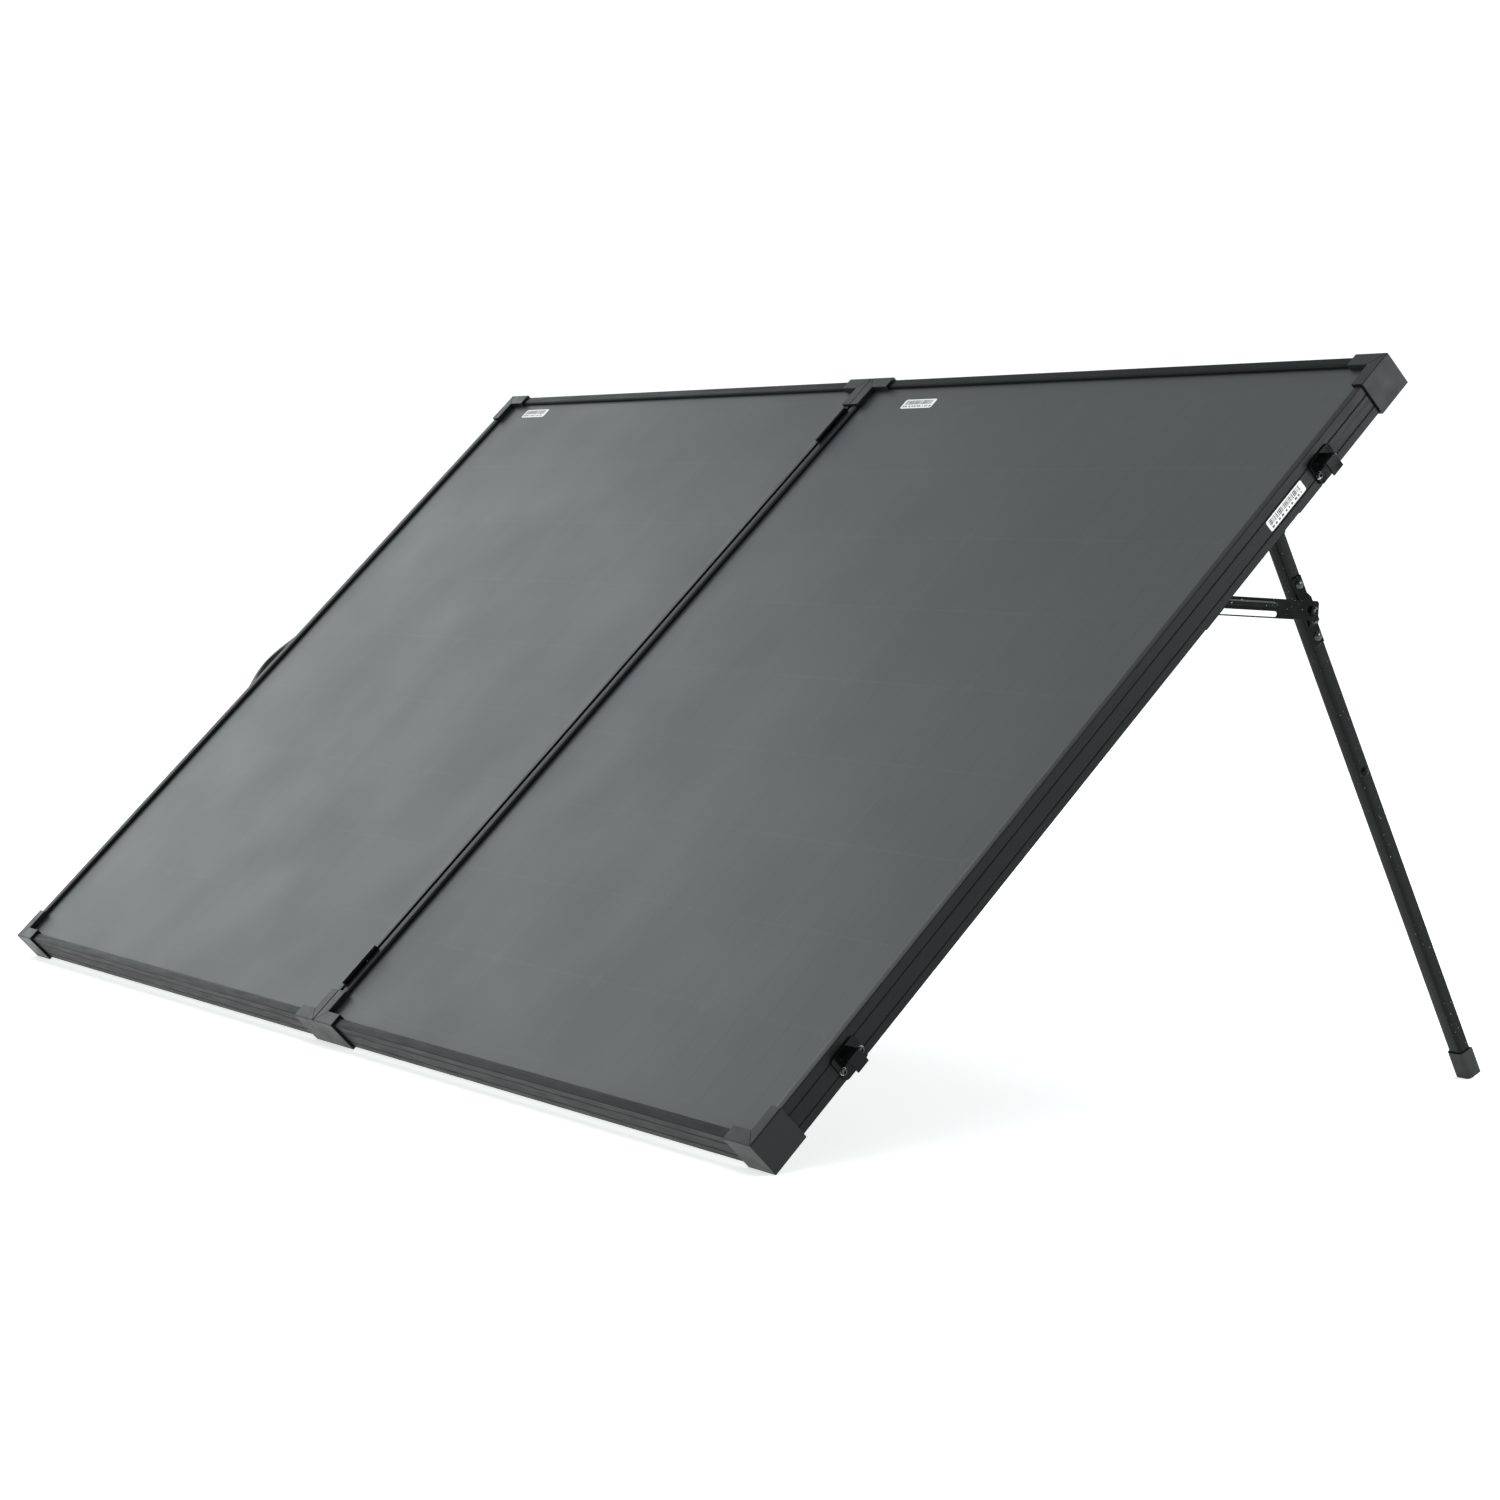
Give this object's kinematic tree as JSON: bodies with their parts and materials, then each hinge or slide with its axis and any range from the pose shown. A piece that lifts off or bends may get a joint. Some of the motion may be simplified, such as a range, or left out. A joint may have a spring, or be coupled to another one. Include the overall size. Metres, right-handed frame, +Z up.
{
  "type": "folding solar panel",
  "caption": "Folding suitcase solar panel: hinged framed halves with corner guards, rear folding legs with slotted stays, draw latches and a carry handle.",
  "frame": {"origin": "on the floor, under the middle of the whole opened kit", "axes": "+X along the bottom edge towards the half that carries the keepers, +Y to the rear where the legs stand, +Z up"},
  "size_m": [1.3934, 0.7052, 0.5637],
  "materials": {
    "black_anodised_aluminium": "black anodised extrusion, satin",
    "dark_grey_plastic": "dark grey moulded plastic, fine grain",
    "matt_cover_glass": "matt cover glass over dark cells",
    "cell_laminate": "encapsulated cells on a dark backsheet",
    "black_painted_steel": "glossy black paint on pressed steel",
    "zinc_plated_steel": "bright plated wire",
    "black_rubber": "matt black rubber",
    "black_nylon": "black moulded nylon"
  },
  "bodies": {
    "right_half": {"rail_outer_right": "black_anodised_aluminium", "rail_inner_right": "black_anodised_aluminium", "rail_top_right": "black_anodised_aluminium", "rail_bottom_right": "black_anodised_aluminium", "guard_outer_top_right": "dark_grey_plastic", "guard_outer_bottom_right": "dark_grey_plastic", "guard_inner_top_right": "dark_grey_plastic", "guard_inner_bottom_right": "dark_grey_plastic", "glass_right": "matt_cover_glass", "cell_sheet_right": "cell_laminate", "junction_box_right": "black_nylon", "junction_lid_right": "black_nylon", "hinge_leaf_bottom_right": "black_painted_steel", "hinge_leaf_top_right": "black_painted_steel", "leg_mount_right": "black_painted_steel", "stay_bracket_right": "black_painted_steel", "keeper_bottom": "black_painted_steel", "keeper_top": "black_painted_steel"},
    "left_half": {"rail_outer_left": "black_anodised_aluminium", "rail_inner_left": "black_anodised_aluminium", "rail_top_left": "black_anodised_aluminium", "rail_bottom_left": "black_anodised_aluminium", "guard_outer_top_left": "dark_grey_plastic", "guard_outer_bottom_left": "dark_grey_plastic", "guard_inner_top_left": "dark_grey_plastic", "guard_inner_bottom_left": "dark_grey_plastic", "glass_left": "matt_cover_glass", "cell_sheet_left": "cell_laminate", "junction_box_left": "black_nylon", "junction_lid_left": "black_nylon", "hinge_leaf_bottom_left": "black_painted_steel", "hinge_leaf_top_left": "black_painted_steel", "leg_mount_left": "black_painted_steel", "stay_bracket_left": "black_painted_steel", "latch_base_bottom": "black_painted_steel", "latch_base_top": "black_painted_steel", "carry_handle": "black_nylon"},
    "lever_bottom": {"latch_lever_bottom": "black_painted_steel"},
    "bail_bottom": {"latch_bail_bottom": "zinc_plated_steel"},
    "lever_top": {"latch_lever_top": "black_painted_steel"},
    "bail_top": {"latch_bail_top": "zinc_plated_steel"},
    "leg_right": {"leg_tube_right": "black_anodised_aluminium", "foot_right": "black_rubber", "leg_end_plate_right": "black_painted_steel", "leg_hat_bracket_right": "black_painted_steel"},
    "stay_right": {"stay_right": "black_painted_steel"},
    "clamp_right": {"clamp_screw_right": "black_painted_steel"},
    "nut_right": {"clamp_nut_right": "black_painted_steel"},
    "leg_left": {"leg_tube_left": "black_anodised_aluminium", "foot_left": "black_rubber", "leg_end_plate_left": "black_painted_steel", "leg_hat_bracket_left": "black_painted_steel"},
    "stay_left": {"stay_left": "black_painted_steel"},
    "clamp_left": {"clamp_screw_left": "black_painted_steel"},
    "nut_left": {"clamp_nut_left": "black_painted_steel"}
  },
  "joints": [
    {"name": "fold", "type": "hinge", "parent": "right_half", "child": "left_half", "pos_m": [0.008, -0.07099, 0.29328], "axis": [0, 0.7206, 0.6934], "range_deg": [0, 180]},
    {"name": "leg_right_fold", "type": "hinge", "parent": "right_half", "child": "leg_right", "pos_m": [0.6408, 0.14067, 0.45594], "axis": [-1, 0, 0], "range_deg": [0, 71.97]},
    {"name": "stay_right_turn", "type": "hinge", "parent": "leg_right", "child": "stay_right", "pos_m": [0.6542, 0.16853, 0.37143], "axis": [-1, 0, 0], "range_deg": [-119.6, 0]},
    {"name": "clamp_right_slide", "type": "slide", "parent": "stay_right", "child": "clamp_right", "axis": [0, 0.9981, -0.061], "range_m": [0, 0.0865]},
    {"name": "nut_right_turn", "type": "hinge", "parent": "clamp_right", "child": "nut_right", "pos_m": [0.6509, 0.04541, 0.37476], "axis": [1, 0, 0], "continuous": true},
    {"name": "leg_left_fold", "type": "hinge", "parent": "left_half", "child": "leg_left", "pos_m": [-0.6248, 0.14067, 0.45594], "axis": [-1, 0, 0], "range_deg": [0, 71.97]},
    {"name": "stay_left_turn", "type": "hinge", "parent": "leg_left", "child": "stay_left", "pos_m": [-0.6382, 0.16853, 0.37143], "axis": [-1, 0, 0], "range_deg": [-119.6, 0]},
    {"name": "clamp_left_slide", "type": "slide", "parent": "stay_left", "child": "clamp_left", "axis": [0, 0.9981, -0.061], "range_m": [0, 0.0865]},
    {"name": "nut_left_turn", "type": "hinge", "parent": "clamp_left", "child": "nut_left", "pos_m": [-0.6349, 0.04541, 0.37476], "axis": [1, 0, 0], "continuous": true},
    {"name": "lever_bottom_open", "type": "hinge", "parent": "left_half", "child": "lever_bottom", "pos_m": [-0.67665, -0.27682, 0.08028], "axis": [0, -0.7206, -0.6934], "range_deg": [-150, 0]},
    {"name": "bail_bottom_swing", "type": "hinge", "parent": "lever_bottom", "child": "bail_bottom", "pos_m": [-0.67345, -0.27231, 0.0756], "axis": [0, 0.7206, 0.6934], "range_deg": [0, 180]},
    {"name": "lever_top_open", "type": "hinge", "parent": "left_half", "child": "lever_top", "pos_m": [-0.67665, 0.14543, 0.48662], "axis": [0, -0.7206, -0.6934], "range_deg": [-150, 0]},
    {"name": "bail_top_swing", "type": "hinge", "parent": "lever_top", "child": "bail_top", "pos_m": [-0.67345, 0.14993, 0.48193], "axis": [0, 0.7206, 0.6934], "range_deg": [0, 180]}
  ],
  "couplings": [
    {"joint": "stay_right_turn", "follows": "leg_right_fold", "ratio": -1.6596},
    {"joint": "clamp_right_slide", "follows": "leg_right_fold", "m_per_rad": 0.06875},
    {"joint": "stay_left_turn", "follows": "leg_left_fold", "ratio": -1.6596},
    {"joint": "clamp_left_slide", "follows": "leg_left_fold", "m_per_rad": 0.06875}
  ]
}
